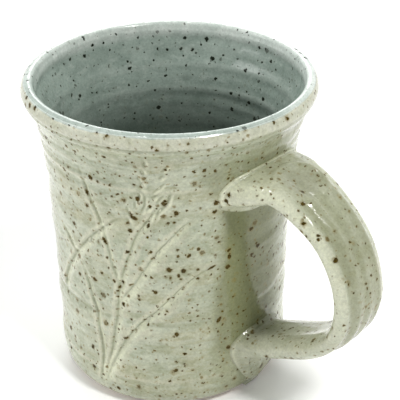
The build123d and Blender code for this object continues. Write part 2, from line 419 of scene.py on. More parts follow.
def turned_uv(ob, cols, theta, s, bands):
    """The piece's own unwrap: bands of rows, each in two half turns one over the other."""
    uv = ob.data.uv_layers.new(name="OFBake")
    me = ob.data
    n = len(me.polygons)
    total = np.zeros(n, np.int32)
    me.polygons.foreach_get("loop_total", total)
    idx = np.zeros(len(me.loops), np.int32)
    me.loops.foreach_get("vertex_index", idx)
    face = np.repeat(np.arange(n), total)
    row, col = idx // cols, idx % cols
    top = np.zeros(n, int)
    np.maximum.at(top, face, col)
    low = np.full(n, cols)
    np.minimum.at(low, face, col)
    wrap = (top - low) > cols // 2
    col = np.where(wrap[face] & (col < cols // 2), col + cols, col)
    th = np.r_[theta, theta[0] + 2 * math.pi]
    t = (th[np.clip(col, 0, cols)] - th[0]) / (2 * math.pi)
    mid = np.bincount(face, t, n) / total
    half = (mid >= 0.5)[face]
    u = (t - 0.5 * half) * 2 * 0.992 + 0.004
    rmin = np.full(n, 10**6)
    np.minimum.at(rmin, face, row)
    rmax = np.zeros(n, int)
    np.maximum.at(rmax, face, row)
    v = np.zeros(len(idx))
    for r0, r1, v0, v1 in bands:
        m = ((rmin >= r0) & (rmax <= r1))[face]
        k = (s[row[m]] - s[r0]) / (s[r1] - s[r0])
        middle, gap = (v0 + v1) / 2, 0.002
        lo = np.where(half[m], middle + gap, v0 + gap)
        hi = np.where(half[m], v1 - gap, middle - gap)
        v[m] = lo + (hi - lo) * k
    uv.data.foreach_set("uv", np.stack([u, v], -1).astype(np.float32).ravel())


def blur_rows(h, n):
    """Running mean of a closed grid, n rows and columns either way."""
    k = 2 * n + 1
    p = np.pad(h, ((n, n), (n, n)), mode="edge")
    p[n:-n, :n], p[n:-n, -n:] = h[:, -n:], h[:, :n]
    c = np.cumsum(np.pad(p, ((1, 0), (0, 0))), 0)
    p = (c[k:] - c[:-k]) / k
    c = np.cumsum(np.pad(p, ((0, 0), (1, 0))), 1)
    return (c[:, k:] - c[:, :-k]) / k


COAT = 0.5
theta = columns(-124, -18, 172, 156)
cols = len(theta)
ring = np.arange(cols)

# One profile from the foot up the outside, over the crest and down to the floor.
whole = curve(OUTSIDE + INSIDE[1:], step=0.1)
whole_n = normals2(whole)
whole_s = np.r_[0, np.cumsum(np.linalg.norm(np.diff(whole, axis=0), axis=1))]
s_join = whole_s[np.argmin(np.hypot(whole[:, 0] - OUTSIDE[-1][0], whole[:, 1] - OUTSIDE[-1][1]))]


def on_profile(s):
    p = np.stack([np.interp(s, whole_s, whole[:, k]) for k in (0, 1)], -1)
    n = np.stack([np.interp(s, whole_s, whole_n[:, k]) for k in (0, 1)], -1)
    return p, n / np.linalg.norm(n, axis=1)[:, None]


# ------------------------------------------------------- outer glaze coat ----
s_rows = np.r_[[0.0, 0.05, 0.16, 0.32], np.linspace(0.5, s_join, int(s_join / 0.46))]
profile, normal = on_profile(s_rows)
TH, ZZ = np.meshgrid(theta, profile[:, 1])
height, pooled_and_painted_shade, thinned_and_painted_light = wall_height(TH, ZZ)
# The coat ends above the foot in a soft, slightly wandering roll.
roll = COAT * (1 - np.sqrt(1 - (1 - np.clip(s_rows / COAT, 0, 1)) ** 2))
roll[0] = COAT * 0.62
wander = 0.22 * around(theta, 31, (2, 3, 5, 8))
skin = height - roll[:, None] + 0.10 * bell(s_rows, 1.2, 0.9)[:, None]
out_pts = turned(profile, normal, skin, theta)
out_pts[:, :, 2] += wander[None, :] * smooth(3.2, 0.0, s_rows)[:, None]
back = np.linspace(0, len(profile) - 1, 26).astype(int)[::-1]
back_pts = turned(profile, normal, height - COAT, theta)[back]
back_pts[-1, :, 2] += wander
rows_out = len(profile)
rows = rows_out + len(back)
last = (rows - 1) * cols
closing = np.stack([last + ring, last + (ring + 1) % cols, (ring + 1) % cols, ring], -1)
outer = link("outer_glaze_coat", np.concatenate([out_pts, back_pts]), grid_faces(rows, cols), closing)
sharpen(outer, np.r_[(rows_out - 1) * cols + ring, rows_out * cols + ring])
# Raised relief is painted paler as a highlight and its hollows darker as shade.
relieved = (height - blur_rows(height, 5)) / 0.16
zone = np.concatenate([ZZ, ZZ[back]])
TH2 = np.concatenate([TH, TH[back]])
# Pooled glaze and painted shade in the creases of the relief.
put(outer, "pool_and_painted_shade", np.concatenate([pooled_and_painted_shade, pooled_and_painted_shade[back]]))

# Painted shade: the handle's shadow, painted as a darker strip on the wall under it with a soft upright edge; the wall
# is also painted darker towards the foot and, lower down, beside the handle.
ang = np.degrees((TH2 + math.pi) % (2 * math.pi) - math.pi)
handle_shadow_strip = smooth(-31.0, -20.5, ang + 9 * smooth(76, 86, zone) + 1.3 * around(zone / 9.0, 37, (1, 2, 3))) * smooth(18, 2, ang)
painted_shade = handle_shadow_strip * (0.72 + 0.28 * smooth(80, 70, zone)) * smooth(95, 88, zone) * (0.45 + 0.55 * smooth(12, 26, zone))
put(outer, "painted_shade", np.clip(0.98 * painted_shade + 0.22 * smooth(12, 2.5, zone) + 0.18 * smooth(-60, -32, ang) * smooth(30, 8, ang) * smooth(66, 50, zone), 0, 1))
# Paler bands beside the stems: thinner glaze and painted light.
put(outer, "thin_and_painted_light", np.concatenate([thinned_and_painted_light, thinned_and_painted_light[back]]))
put(outer, "edge", np.concatenate([relieved, relieved[back]]))
put(outer, "lip", smooth(96.6, 98.4, zone))
put(outer, "liner", smooth(100.7, 101.95, zone + 0.25 * around(TH2, 33, (2, 5, 9, 13, 21))))
put(outer, "iron", iron_marks(TH2, zone))
# The crest's painted paleness, partly a painted reflection, reaches the top of the outer coat too.
put(outer, "crest", smooth(101.0, 101.8, zone))
s_all = np.r_[s_rows, s_rows[-1] + 0.5 + 3.0 * np.arange(len(back))]
turned_uv(outer, cols, theta, s_all, [(0, rows_out - 1, 0.0, 0.93), (rows_out - 1, rows - 1, 0.935, 1.0)])

# ------------------------------------------------------------ liner glaze ----
s_end = whole_s[-1]
s_liner = np.r_[np.arange(s_join, s_join + 5.0, 0.24), np.arange(s_join + 5.0, s_end, 0.95), s_end]
prof_i, norm_i = on_profile(s_liner)
flat_r = np.linspace(15.2, 0.8, 18)
prof_i = np.concatenate([prof_i, np.stack([flat_r, np.full(18, prof_i[-1, 1])], -1)])
norm_i = np.concatenate([norm_i, np.tile([0.0, 1.0], (18, 1))])
s_liner = np.r_[s_liner, s_end + (16 - flat_r)]


def inner_height(T, s, z, r):
    """Standing height of the liner: the potter's finger marks spiral down and across the floor."""
    turn = (T % (2 * math.pi)) / (2 * math.pi)
    blend = smooth(0.0, 0.10, turn) * smooth(1.0, 0.90, turn)
    inn = (s - s_join)[:, None] + 0.5 * around(T, 41, (1, 2, 3))
    w = ring_i(inn - 6.0 * turn) * blend + ring_i(inn - 3.0) * (1 - blend)
    amp = 0.13 * smooth(99.0, 90.0, z) * smooth(4.0, 14.0, r)
    h = amp[:, None] * w * (0.8 + 0.3 * around(T, 42, (1, 2, 3)))
    h = h + (0.10 * smooth(70, 95, z))[:, None] * around(T, 17, (2, 3, 4))
    h = h + (0.05 * smooth(94, 99, z))[:, None] * around(T, 18, (3, 5, 7))
    return h


THi, ZZi = np.meshgrid(theta, prof_i[:, 1])
h_in = inner_height(THi, s_liner, prof_i[:, 1], prof_i[:, 0])
# The rolled rim ends inside in a soft step.
roll = (s_liner - s_join)[:, None] + 0.5 * around(THi, 39, (1, 2, 3))
h_in = h_in + 0.16 * bell(roll, 5.2, 0.9) - 0.20 * bell(roll, 7.6, 1.1)
top_pts = turned(prof_i, norm_i, h_in, theta)
under = np.linspace(0, len(prof_i) - 1, 44).astype(int)[::-1]
under_pts = turned(prof_i, norm_i, h_in - COAT, theta)[under]
n_top, n_und = len(prof_i), len(under)
pole_top = [[0.0, 0.0, prof_i[-1, 1]]]
pole_und = [[0.0, 0.0, prof_i[-1, 1] - COAT]]
pts = np.concatenate([top_pts.reshape(-1, 3), under_pts.reshape(-1, 3), pole_top, pole_und])
p1, p2 = len(pts) - 2, len(pts) - 1
nxt = (ring + 1) % cols
f_top = grid_faces(n_top, cols)
f_und = grid_faces(n_und, cols) + n_top * cols
a0 = (n_top - 1) * cols
fan1 = np.stack([a0 + ring, a0 + nxt, np.full(cols, p1)], -1)
b0 = n_top * cols
fan2 = np.stack([b0 + nxt, b0 + ring, np.full(cols, p2)], -1)
c0 = (n_top + n_und - 1) * cols
closing = np.stack([c0 + ring, c0 + nxt, nxt, ring], -1)
liner = link("liner_glaze_coat", pts, f_top, f_und, closing, fan1, fan2)
sharpen(liner, np.r_[ring, c0 + ring])


def both(a):
    return np.r_[a.ravel(), a[under].ravel(), a[-1, 0], a[-1, 0]]


# Raised liner rings are painted paler as a highlight.
edge_i = (h_in - blur_rows(h_in, 4)) / 0.16
S2 = np.repeat((s_liner - s_join)[:, None], cols, 1)
put(liner, "pool_and_painted_shade", both(0 * h_in))
put(liner, "thin_and_painted_light", both(0 * h_in))
# Painted shade: the liner is darker deeper inside the mug, with some random unevenness.
put(liner, "painted_shade", both(np.clip(1.0 * smooth(97, 56, ZZi) + 0.18 * around(THi + ZZi / 30, 38, (1, 2, 3)) * smooth(95, 80, ZZi), 0, 1)))
put(liner, "edge", both(edge_i))
put(liner, "lip", both(1 - smooth(0.0, 1.2, S2)))
melt = smooth(100.7, 101.95, ZZi + 0.25 * around(THi, 33, (2, 5, 9, 13, 21)))
put(liner, "liner", both(np.maximum(melt, smooth(0.4, 1.6, S2))))
put(liner, "iron", both(0 * h_in))
# The crest is painted paler: partly thinner glaze over the rim, partly a painted reflection, much stronger on the far
# side than on the side facing the camera (about -68 degrees).
gap = np.abs((THi - math.radians(-68) + math.pi) % (2 * math.pi) - math.pi)
put(liner, "crest", both(smooth(7.9 + 0.8 * around(THi, 35, (1, 2, 4)), 5.2, S2) * (0.22 + 0.78 * smooth(math.radians(50), math.radians(100), gap))))

# --------------------------------------------------------- stoneware body ----
arc = np.radians(np.linspace(-90, -46.5, 9))
foot = np.stack([30.4 + 6.6 * np.cos(arc), 6.6 + 6.6 * np.sin(arc)], -1)
base_r = np.r_[np.linspace(0.8, 29.6, 26)]
base = np.stack([base_r, 0 * base_r], -1)
s_body = np.r_[np.linspace(0.35, s_join, 112), np.linspace(s_join + 0.5, s_join + 4.5, 8), np.linspace(s_join + 6, s_end, 40)]
prof_b, norm_b = on_profile(s_body)
z_b = prof_b[:, 1]
TB, ZB = np.meshgrid(theta, z_b)
hb = np.where((s_body <= s_join)[:, None], wall_height(TB, ZB)[0],
              inner_height(TB, s_body, z_b, prof_b[:, 0]))
sunk = COAT + 0.02 + 0.14 * smooth(0.4, 6, s_body) * smooth(s_join, s_join - 4, s_body) + 0.06 * smooth(s_join, s_join + 4, s_body)
upper = turned(prof_b, norm_b, hb - sunk[:, None], theta)
flat_rb = np.linspace(15, 0.8, 8)
floor_b = turned(np.stack([flat_rb, np.full(8, prof_b[-1, 1])], -1), np.tile([0.0, 1.0], (8, 1)), np.full((8, cols), -COAT - 0.08), theta)
TBase, RBase = np.meshgrid(theta, base_r)
bx, by = RBase * np.cos(TBase), RBase * np.sin(TBase)
# Cut off with a twisted wire: shallow shell-shaped arcs drawn across the flat base.
swing = np.hypot(bx + 62, by - 14)
wire = 0.5 + 0.5 * np.sin(swing * 2 * math.pi / 2.3 + 1.2 * np.sin(swing / 5.1))
cut = (0.16 * wire + 0.05 * (1 + blotch(np.stack([bx, by, 0 * bx], -1), 6, 51))) * smooth(30.0, 27.0, RBase)
base_pts = np.stack([bx, by, np.clip(cut, 0, 0.4)], -1)
foot_pts = turned(foot, normals2(foot), 0 * TB[:9], theta)
rim_soft = 0.10 * blotch(foot_pts, 5, 52) * smooth(0.0, 0.8, foot[:, 1])[:, None]
foot_pts[:, :, 0] *= 1 + rim_soft / 36
foot_pts[:, :, 1] *= 1 + rim_soft / 36
grid = np.concatenate([base_pts, foot_pts, upper, floor_b])
nb = len(grid)
pts = np.concatenate([grid.reshape(-1, 3), [[0, 0, 0.12]], [[0, 0, prof_b[-1, 1] - COAT - 0.08]]])
q1, q2 = len(pts) - 2, len(pts) - 1
a0 = (nb - 1) * cols
fan_top = np.stack([a0 + ring, a0 + nxt, np.full(cols, q2)], -1)
fan_bot = np.stack([nxt, ring, np.full(cols, q1)], -1)
body_ob = link("stoneware_wall", pts, grid_faces(nb, cols), fan_top, fan_bot)

# ------------------------------------------------------ handle and joins ----
STRAP = np.array([
    (31.5, 79.0, 31.6, 9.0), (37.0, 79.4, 30.6, 8.4), (42.5, 79.9, 29.4, 7.6), (50.0, 79.9, 25.2, 6.6),
    (59.4, 75.9, 22.2, 6.2), (67.4, 69.3, 20.8, 6.0), (73.0, 59.8, 20.6, 5.9), (75.0, 48.6, 21.0, 5.9),
    (71.9, 38.8, 20.8, 5.8), (64.2, 31.6, 20.2, 5.8), (54.0, 26.2, 19.6, 6.0), (44.5, 22.2, 19.6, 6.4),
    (36.5, 19.0, 20.0, 7.2), (31.5, 17.2, 20.2, 7.6),
])
COLLAR = np.array([(30.0, 77.8, 16.6, 6.8), (36.0, 78.1, 16.4, 6.6), (41.0, 78.5, 15.8, 5.9), (44.5, 79.1, 14.8, 4.9),
                   (48.5, 79.9, 13.4, 3.6), (52.0, 80.0, 12.0, 2.2)])
TAIL = np.array([(2.6, 34.0, 1.2, 1.4), (4.6, 34.6, 2.5, 3.4), (8.5, 35.3, 2.9, 6.6), (14.0, 35.6, 3.8, 9.2),
                 (18.5, 36.1, 5.0, 10.4), (22.0, 36.0, 4.0, 10.0), (26.0, 34.4, 2.0, 6.0), (27.4, 33.6, 1.2, 3.6)])
strap_line = curve(STRAP, n=420)
strap_tan = np.gradient(strap_line[:, :2], axis=0)
strap_tan /= np.linalg.norm(strap_tan, axis=1)[:, None]
strap_run = np.r_[0, np.cumsum(np.linalg.norm(np.diff(strap_line[:, :2], axis=0), axis=1))]
STRAP_LENGTH = strap_run[-1]


def strap_place(x, z):
    """How far along the strap's middle line a place is, and how far outside the line it stands."""
    x, z = np.asarray(x, float).ravel(), np.asarray(z, float).ravel()
    idx = np.empty(len(x), int)
    for i in range(0, len(x), 20000):
        d = (x[i:i + 20000, None] - strap_line[None, :, 0]) ** 2 + (z[i:i + 20000, None] - strap_line[None, :, 1]) ** 2
        idx[i:i + 20000] = d.argmin(1)
    # Between two points of the line, so that the surface stays smooth.
    ex, ez = x - strap_line[idx, 0], z - strap_line[idx, 1]
    along = ex * strap_tan[idx, 0] + ez * strap_tan[idx, 1]
    run = strap_run[idx] + along
    px = np.interp(run, strap_run, strap_line[:, 0])
    pz = np.interp(run, strap_run, strap_line[:, 1])
    tx = np.interp(run, strap_run, strap_tan[:, 0])
    tz = np.interp(run, strap_run, strap_tan[:, 1])
    k = np.hypot(tx, tz)
    side = ((x - px) * (-tz) + (z - pz) * tx) / k
    over = np.maximum(0, run - STRAP_LENGTH) + np.maximum(0, -run)
    return run, side, over


def ellipse(u, v, a, b):
    k0 = np.sqrt((u / a) ** 2 + (v / b) ** 2) + 1e-6
    k1 = np.sqrt((u / a**2) ** 2 + (v / b**2) ** 2) + 1e-6
    return k0 * (k0 - 1) / k1


def rounded(u, v, a, b, n):
    """Like an ellipse, with fuller corners the larger n is."""
    uu, vv = np.abs(u) / a + 1e-6, np.abs(v) / b + 1e-6
    k0 = (uu**n + vv**n) ** (1 / n)
    g = k0 ** (1 - n) * np.hypot(uu ** (n - 1) / a, vv ** (n - 1) / b)
    return (k0 - 1) / np.maximum(g, 0.08)


def soft_min(a, b, k):
    h = np.clip(0.5 + 0.5 * (b - a) / k, 0, 1)
    return b + (a - b) * h - k * h * (1 - h)


strap_wave = wave_sum([19.0, 27.0, 38.0], 61)


def strap_field(x, y, z, run, side, over):
    w = np.interp(run, strap_run, strap_line[:, 2]) / 2 + COAT
    t = np.interp(run, strap_run, strap_line[:, 3]) / 2 + COAT
    outward = smooth(-0.5, 1.5, side)          # the run goes down, so + is the outer face
    across = y / w
    d = rounded(y, side, w, t, 2.45)
    # Pulled by hand: the edges wander a little, and soft lines run down the outer face beside them.
    d = d + 0.09 * strap_wave(run + 9 * np.sign(y)) * smooth(0.5, 1.0, np.abs(across))
    mid = smooth(6, 22, run) * smooth(STRAP_LENGTH - 2, STRAP_LENGTH - 16, run)
    sway = 0.03 * np.sin(run / 11)
    lines = (0.34 * bell(across, -0.83 + sway, 0.085) - 0.42 * bell(across, -0.60 + sway, 0.13)
             + 0.20 * bell(across, -0.34 + 1.3 * sway, 0.10) - 0.16 * bell(across, -0.14 - sway, 0.12)
             + 0.12 * bell(across, 0.10 + sway, 0.12) - 0.10 * bell(across, 0.33, 0.12)
             + 0.26 * bell(across, 0.60 - sway, 0.10) - 0.24 * bell(across, 0.78 - sway, 0.08))
    d = d - lines * outward * mid
    inner = 0.14 * bell(across, -0.45 + sway, 0.12) - 0.12 * bell(across, -0.1, 0.2) + 0.12 * bell(across, 0.5, 0.12)
    d = d - inner * smooth(0.5, -1.5, side) * mid
    # The thumb's dimple on top, with the clay pushed up round its far side.
    du, dv = x - 53.2, y + 0.6
    q = np.hypot(du / 6.6, dv / 7.2)
    top = smooth(0.5, 2.0, side) * smooth(76, 78, z)
    d = d + top * (1.35 * smooth(1.06, 0.25, q) - 0.72 * bell(q, 1.16, 0.13) * (0.6 + 0.4 * np.clip((dv - du * 0.4) / 6, -1, 1)))
    return d + over * 0.8


def collar_field(x, y, z):
    zc, a, b = (np.interp(x, COLLAR[:, 0], COLLAR[:, k]) for k in (1, 2, 3))
    # A rib runs from the near corner along the strap's lower edge, with a hollow under it.
    turn = np.degrees(np.arctan2(-(z - zc) / (b + COAT), -y / (a + COAT)))
    fade = smooth(50, 46, x)
    rib = 0.46 * bell(turn, 14, 11) - 0.10 * bell(turn, 46, 15) + 0.20 * bell(turn, 74, 10)
    return ellipse(y, z - zc, a + COAT, b + COAT) + np.maximum(0, x - 48.0) * 0.6 - rib * fade


def tail_field(x, y, z):
    xc, a, b = (np.interp(z, TAIL[:, 0], TAIL[:, k]) for k in (1, 2, 3))
    over = np.maximum(0, 2.6 - z) + np.maximum(0, z - 27.4)
    smear = (0.66 * bell(y, -0.80 * b, 0.85) - 0.16 * bell(y, -0.80 * b + 2.3, 0.95) + 0.42 * bell(y, -0.80 * b + 4.6, 0.9)
             - 0.08 * bell(y, -0.80 * b + 6.8, 1.1)) * smooth(6, 11, z) * smooth(28, 22, z)
    return ellipse(y, x - xc, b + COAT, a + COAT) + over - smear - 0.14


def wall_field(x, y, z):
    """How far outside the glazed wall a place stands."""
    dx, dy = drift(z)
    x, y = x - dx, y - dy
    r = np.hypot(x, y)
    th = np.arctan2(y, x)
    z = z - tilt(th, z, r)
    h = rings(th, z) * smooth(1.9, 6.0, z) * smooth(97.0, 93.5, z)
    h = h + 0.10 * around(th, 17, (2, 3, 4)) * smooth(20, 95, z) + 0.05 * around(th, 18, (3, 5, 7)) * smooth(94, 99, z)
    zz = np.clip(z, 1.9, 97.5)
    slope = (spline_at(wall_r, zz + 0.05) - spline_at(wall_r, zz - 0.05)) / 0.1
    return (r - spline_at(wall_r, zz) - h) / np.sqrt(1 + slope**2)


def handle_field(p):
    x, y, z = p[:, 0], p[:, 1], p[:, 2]
    run, side, over = strap_place(x, z)
    strap = strap_field(x, y, z, run, side, over)
    joined = soft_min(strap, collar_field(x, y, z), 1.6)
    joined = soft_min(joined, tail_field(x, y, z), 2.0)
    wall = wall_field(x, y, z)
    low = smooth(30, 24, z)
    k = 0.9 + 0.9 * low + 1.3 * smooth(78, 74, z) * (1 - low)
    whole_f = soft_min(joined, wall, k)
    # A bead of slip follows the seam, with a fine crease on its wall side.
    s = wall - joined
    strong = smooth(73.5, 76.5, z) + 0.62 * low * smooth(4, 9, z)
    whole_f = whole_f + strong * (0.34 * bell(s, -1.05, 0.42) - 0.50 * bell(s, 0.12, 0.50) + 0.12 * bell(s, 1.40, 0.50))
    # The skin dips a hair under the wall's own glaze where it runs out, and is closed off inside the wall.
    return np.maximum(whole_f + 0.03, np.maximum(-(wall + 1.1), joined - 3.4)), joined, wall, run, side


def surface_nets(f, origin, h):
    """The zero surface of a block of values (negative inside), as points and quads."""
    inside = f < 0
    n = [d - 1 for d in f.shape]
    count = np.zeros(n, np.int8)
    for i in (0, 1):
        for j in (0, 1):
            for k in (0, 1):
                count += inside[i:n[0] + i, j:n[1] + j, k:n[2] + k]
    mixed = (count > 0) & (count < 8)
    index = np.full(mixed.shape, -1)
    index[mixed] = np.arange(mixed.sum())
    cell = np.argwhere(mixed)
    acc = np.zeros((len(cell), 3))
    num = np.zeros(len(cell))
    corners = [(i, j, k) for i in (0, 1) for j in (0, 1) for k in (0, 1)]
    for a in corners:
        for b in corners:
            if sum(b) - sum(a) == 1 and all(bi >= ai for ai, bi in zip(a, b)):
                va = f[tuple((cell + a).T)]
                vb = f[tuple((cell + b).T)]
                m = (va < 0) != (vb < 0)
                t = np.where(m, va / np.where(m, va - vb, 1), 0)
                acc += np.where(m[:, None], np.array(a) + t[:, None] * (np.array(b) - np.array(a)), 0)
                num += m
    pts = origin + h * (cell + acc / num[:, None])
    quads = []
    for axis in range(3):
        o1, o2 = [k for k in range(3) if k != axis]
        lo = [slice(None)] * 3
        hi = [slice(None)] * 3
        lo[axis], hi[axis] = slice(0, f.shape[axis] - 1), slice(1, None)
        for s in (o1, o2):
            lo[s] = hi[s] = slice(1, f.shape[s] - 1)
        a, b = inside[tuple(lo)], inside[tuple(hi)]
        e = np.argwhere(a != b)
        first = a[tuple(e.T)]
        e[:, o1] += 1
        e[:, o2] += 1
        u, v = np.zeros(3, int), np.zeros(3, int)
        u[o1], v[o2] = 1, 1
        q = np.stack([index[tuple((e - u - v).T)], index[tuple((e - v).T)], index[tuple(e.T)], index[tuple((e - u).T)]], -1)
        if axis == 1:
            first = ~first
        q[~first] = q[~first][:, ::-1]
        quads.append(q)
    q = np.concatenate(quads)
    return pts, q[(q >= 0).all(1)]


def gradient(field, p, e=0.12):
    g = np.zeros(p.shape)
    for k in range(3):
        d = np.zeros(3)
        d[k] = e
        g[:, k] = (field(p + d) - field(p - d)) / (2 * e)
    return g


def build_from_field(function, h):
    lo, hi = np.array([30.0, -21.5, 0.6]), np.array([80.5, 21.5, 90.5])
    n = np.ceil((hi - lo) / h).astype(int) + 1
    ax = [lo[k] + h * np.arange(n[k]) for k in range(3)]
    # The strap's place depends only on x and z, so it is found once for the block.
    X, Z = np.meshgrid(ax[0], ax[2], indexing="ij")
    block = np.full(n, 9.0)
    P = np.stack(np.meshgrid(*ax, indexing="ij"), -1).reshape(-1, 3)
    run, side, over = strap_place(X, Z)
    near = (np.abs(side) < 7.5) & (over < 4)
    near = near.reshape(X.shape) | ((X < 52) & ((Z > 66) | (Z < 31)))
    keep = np.repeat(near[:, None, :], n[1], 1).ravel()
    vals = np.full(len(P), 9.0)
    idx = np.flatnonzero(keep)
    for i in range(0, len(idx), 400000):
        vals[idx[i:i + 400000]] = function(P[idx[i:i + 400000]])
    pts, quads = surface_nets(vals.reshape(n), lo, h)
    for _ in range(2):
        g = gradient(function, pts)
        g2 = (g**2).sum(1) + 1e-9
        move = -(function(pts) / g2)[:, None] * g
        size = np.linalg.norm(move, axis=1)
        pts = pts + move * np.minimum(1, 0.4 * h / np.maximum(size, 1e-9))[:, None]
    return pts, quads


def skin_field(p):
    return handle_field(p)[0]


def strap_clay_field(p):
    """The strap's clay, one coat under its glazed face, run into the wall at both ends."""
    x, y, z = p[:, 0], p[:, 1], p[:, 2]
    strap = strap_field(x, y, z, *strap_place(x, z)) + COAT + 0.02
    return np.maximum(strap, -(wall_field(x, y, z) + 0.95))


h_pts, h_quads = build_from_field(skin_field, 0.40)
c_pts, c_quads = build_from_field(strap_clay_field, 0.9)
handle_clay = link("handle_strap", c_pts, c_quads)
_, h_joined, h_wall, h_run, h_side = handle_field(h_pts)
# Only the part near the strap is built, as the field is worked out there alone.
handle_skin = link("handle_glaze_coat", h_pts, h_quads)
near_seam = np.exp(-(h_wall**2 + (h_joined - 0.2) ** 2) / 0.9**2)
w_half = np.interp(h_run, strap_run, strap_line[:, 2]) / 2 + COAT
rimness = smooth(0.80, 0.97, np.abs(h_pts[:, 1]) / w_half)
dq = np.hypot((h_pts[:, 0] - 53.2) / 6.6, (h_pts[:, 1] + 0.6) / 7.2)
on_top = smooth(0.5, 2.0, h_side) * smooth(76, 78, h_pts[:, 2])
h_s = h_wall - h_joined
h_zc, h_ca, h_cb = (np.interp(h_pts[:, 0], COLLAR[:, 0], COLLAR[:, k]) for k in (1, 2, 3))
h_turn = np.degrees(np.arctan2(-(h_pts[:, 2] - h_zc) / (h_cb + COAT), -h_pts[:, 1] / (h_ca + COAT)))
h_low = smooth(51, 46, h_pts[:, 0]) * smooth(66, 70, h_pts[:, 2])
h_seam = (smooth(73.5, 76.5, h_pts[:, 2]) + 0.35 * smooth(28, 24, h_pts[:, 2]) * smooth(4, 9, h_pts[:, 2])) * smooth(2.6, 1.2, h_joined + h_wall)
# Pooled glaze in the thumb dimple; painted shade in the crease beside the seam bead and in the hollow under the
# collar's rib.
put(handle_skin, "pool_and_painted_shade", np.clip(0.82 * on_top * smooth(1.1, 0.5, dq) + 0.75 * h_seam * bell(h_s, -1.2, 0.42)
                                 + 0.25 * h_seam * bell(h_s, 1.5, 0.5) + 0.35 * h_low * bell(h_turn, 40, 14), 0, 1))
# Painted light and shade on the handle: its edges, the seam bead, the ridges of the pulled lines and the dimple's rim
# painted paler as highlights; the channels and the outer face painted darker as shade.
h_across = h_pts[:, 1] / w_half
h_mid = smooth(6, 22, h_run) * smooth(STRAP_LENGTH - 2, STRAP_LENGTH - 16, h_run) * smooth(-0.5, 1.5, h_side)
h_lines = (bell(h_across, -0.84, 0.09) - 0.9 * bell(h_across, -0.60, 0.13) + 0.7 * bell(h_across, -0.34, 0.10)
           - 0.4 * bell(h_across, -0.12, 0.12) + 0.8 * bell(h_across, 0.60, 0.10) - 0.5 * bell(h_across, 0.80, 0.08)) * h_mid
put(handle_skin, "edge", np.clip(0.5 * rimness + 0.9 * near_seam + 0.9 * h_lines + 0.7 * on_top * bell(dq, 1.16, 0.13) - 0.35 * h_mid, -1.2, 1.5))
# Cream over the handle, with painted light on its inner face.
put(handle_skin, "lip", (0.30 + 0.40 * smooth(1.5, -1.5, h_side)) * smooth(0.2, 2.0, h_wall))
put(handle_skin, "liner", 0 * h_run)
HANDLE_IRON = [(38.2, -16.8, 77.4, 0.9, 1.0), (38.0, -17.2, 78.6, 0.6, 0.9), (38.6, -16.4, 76.4, 0.6, 0.9), (66.2, -10.4, 71.6, 0.6, 1.0),
               (66.9, -10.3, 72.5, 0.62, 1.0), (67.9, -10.0, 73.0, 0.6, 1.0), (68.9, -9.7, 73.1, 0.45, 0.9), (43.0, -12.0, 26.6, 0.7, 1.0),
               (38.4, -8.2, 24.4, 0.75, 1.0), (39.2, -7.4, 23.4, 0.5, 0.9), (51.5, -10.3, 80.0, 0.7, 1.0)]
iron = np.zeros(len(h_pts))
for ix, iy, iz, size, strength in HANDLE_IRON:
    d = np.linalg.norm(h_pts - (ix, iy, iz), axis=1) / size
    iron = np.maximum(iron, strength * smooth(1.25, 0.4, d))
put(handle_skin, "iron", iron)
put(handle_skin, "crest", 0 * iron)
# Painted light: the strap's side faces, the seam bead, the rib under the collar and the collar's near side are painted
# paler as if lit.
put(handle_skin, "thin_and_painted_light", np.clip(0.80 * smooth(0.72, 0.92, np.abs(h_across)) * smooth(4.5, 1.0, np.abs(h_side)) * smooth(1, 6, h_run)
                                 * (0.05 + 0.95 * smooth(0.68 * STRAP_LENGTH, 0.46 * STRAP_LENGTH, h_run))
                                 + 0.55 * h_seam * bell(h_s, 0.15, 0.45) + 0.5 * h_low * bell(h_turn, 14, 11)
                                 + 0.45 * smooth(64, 50, h_pts[:, 0]) * smooth(66, 70, h_pts[:, 2]) * smooth(0.25, 0.65, -h_across), 0, 1))
# Painted shade: the strap's outer face, the inner face of its lower part and the wall by the lower join are painted
# darker.
put(handle_skin, "painted_shade", 0.78 * smooth(0.5, 2.5, h_side) * (0.75 + 0.25 * smooth(16, 30, h_run)) * smooth(2, 8, h_run) * smooth(0.80, 0.62, np.abs(h_across + 0.1))
    * smooth(STRAP_LENGTH - 8, STRAP_LENGTH - 26, h_run) + 0.45 * smooth(0.5, -2.0, h_side) * smooth(0.48 * STRAP_LENGTH, 0.66 * STRAP_LENGTH, h_run)
    * smooth(STRAP_LENGTH - 2, STRAP_LENGTH - 14, h_run) + 0.30 * smooth(30, 24, h_pts[:, 2]) * smooth(44, 38, h_pts[:, 0]))

# ------------------------------------------------------------- materials ----
def lin(r, g, b):
    """A colour given in 0-255 screen values, as the linear values that shaders use."""
    out = []
    for c in (r, g, b):
        c = c / 255
        out.append(c / 12.92 if c <= 0.04045 else ((c + 0.055) / 1.055) ** 2.4)
    return (*out, 1.0)


